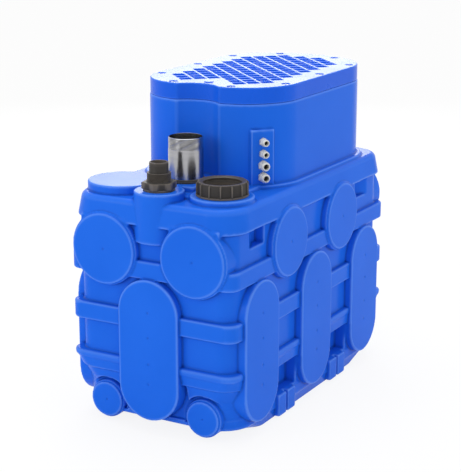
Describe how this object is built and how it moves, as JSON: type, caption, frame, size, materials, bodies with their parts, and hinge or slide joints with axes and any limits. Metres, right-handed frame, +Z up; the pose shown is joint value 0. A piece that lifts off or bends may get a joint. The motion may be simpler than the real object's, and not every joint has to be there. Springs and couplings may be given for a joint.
{
  "type": "sewage lifting station",
  "caption": "Rotomoulded sewage lifting station: belted tank with pads, hood with bolted lid, pipe inlet, vent adapter and steel discharge nipple, with pumps, check valves and floats inside.",
  "frame": {"origin": "centre of the tank's underside, on the floor", "axes": "+Z up; -X towards the end with the vent column, the discharge nipple and the pipe inlet; -Y towards the side with the inlet and the cable glands"},
  "size_m": [0.902, 0.496, 0.854],
  "materials": {
    "tank_plastic": "satin moulded polyethylene",
    "dark_plastic": "matt moulded",
    "light_plastic": "matt moulded",
    "orange_plastic": "matt moulded",
    "black_rubber": "matt",
    "stainless": "drawn, lightly polished",
    "coated_iron": "epoxy coated",
    "cast_iron": "as cast",
    "brass_insert": "turned",
    "winding": "varnished copper winding"
  },
  "bodies": {
    "station": {"tank": "tank_plastic", "lid": "tank_plastic", "lid_gasket": "black_rubber", "lid_screws": "stainless", "lid_inserts": "brass_insert", "lid_plug": "tank_plastic", "inlet_collar": "dark_plastic", "inlet_lip_seal": "black_rubber", "vent_adapter": "dark_plastic", "vent_gasket": "black_rubber", "vent_locknut": "dark_plastic", "discharge_nipple": "stainless", "nipple_seal": "black_rubber", "collector": "coated_iron", "gland_bodies": "light_plastic", "gland_cap_nuts": "light_plastic", "gland_locknuts": "light_plastic", "gland_seals": "black_rubber", "riser_pipe_a": "stainless", "discharge_elbow_a": "coated_iron", "check_valve_body_a": "coated_iron", "check_valve_cover_a": "coated_iron", "riser_pipe_b": "stainless", "discharge_elbow_b": "coated_iron", "check_valve_body_b": "coated_iron", "check_valve_cover_b": "coated_iron", "small_screws": "stainless", "pump_a_suction_plate": "coated_iron", "pump_a_volute": "coated_iron", "pump_a_bearing_bracket": "coated_iron", "pump_a_motor_housing": "stainless", "pump_a_top_cover": "coated_iron", "pump_a_handle": "stainless", "pump_a_stator": "winding", "pump_a_bearings": "stainless", "pump_a_shaft_seal": "black_rubber", "pump_b_suction_plate": "coated_iron", "pump_b_volute": "coated_iron", "pump_b_bearing_bracket": "coated_iron", "pump_b_motor_housing": "stainless", "pump_b_top_cover": "coated_iron", "pump_b_handle": "stainless", "pump_b_stator": "winding", "pump_b_bearings": "stainless", "pump_b_shaft_seal": "black_rubber", "float_rail": "stainless", "float_switch_a": "dark_plastic", "float_switch_b": "dark_plastic"},
    "inlet_nut": {"inlet_ring_nut": "dark_plastic"},
    "rotor_a": {"pump_a_rotor": "stainless", "pump_a_impeller": "cast_iron"},
    "rotor_b": {"pump_b_rotor": "stainless", "pump_b_impeller": "cast_iron"},
    "valve_ball_a": {"check_valve_ball_a": "black_rubber"},
    "valve_ball_b": {"check_valve_ball_b": "black_rubber"},
    "float_a": {"float_lever_a": "stainless", "float_ball_a": "orange_plastic"},
    "float_b": {"float_lever_b": "stainless", "float_ball_b": "orange_plastic"}
  },
  "joints": [
    {"name": "inlet_nut_turn", "type": "hinge", "parent": "station", "child": "inlet_nut", "pos_m": [-0.329, -0.144, 0.611], "axis": [0, 0, 1], "range_deg": [0, 330]},
    {"name": "rotor_a_spin", "type": "hinge", "parent": "station", "child": "rotor_a", "pos_m": [0.07, -0.038, 0.2], "axis": [0, 0, 1], "continuous": true},
    {"name": "rotor_b_spin", "type": "hinge", "parent": "station", "child": "rotor_b", "pos_m": [0.3, -0.038, 0.2], "axis": [0, 0, 1], "continuous": true},
    {"name": "valve_ball_a_lift", "type": "slide", "parent": "station", "child": "valve_ball_a", "axis": [0, -0.6691, 0.7431], "range_m": [0, 0.045]},
    {"name": "valve_ball_b_lift", "type": "slide", "parent": "station", "child": "valve_ball_b", "axis": [0, -0.6691, 0.7431], "range_m": [0, 0.045]},
    {"name": "float_a_swing", "type": "hinge", "parent": "station", "child": "float_a", "pos_m": [-0.13, 0.12, 0.2], "axis": [-1, 0, 0], "range_deg": [0, 80]},
    {"name": "float_b_swing", "type": "hinge", "parent": "station", "child": "float_b", "pos_m": [-0.13, 0.12, 0.44], "axis": [-1, 0, 0], "range_deg": [0, 80]}
  ]
}
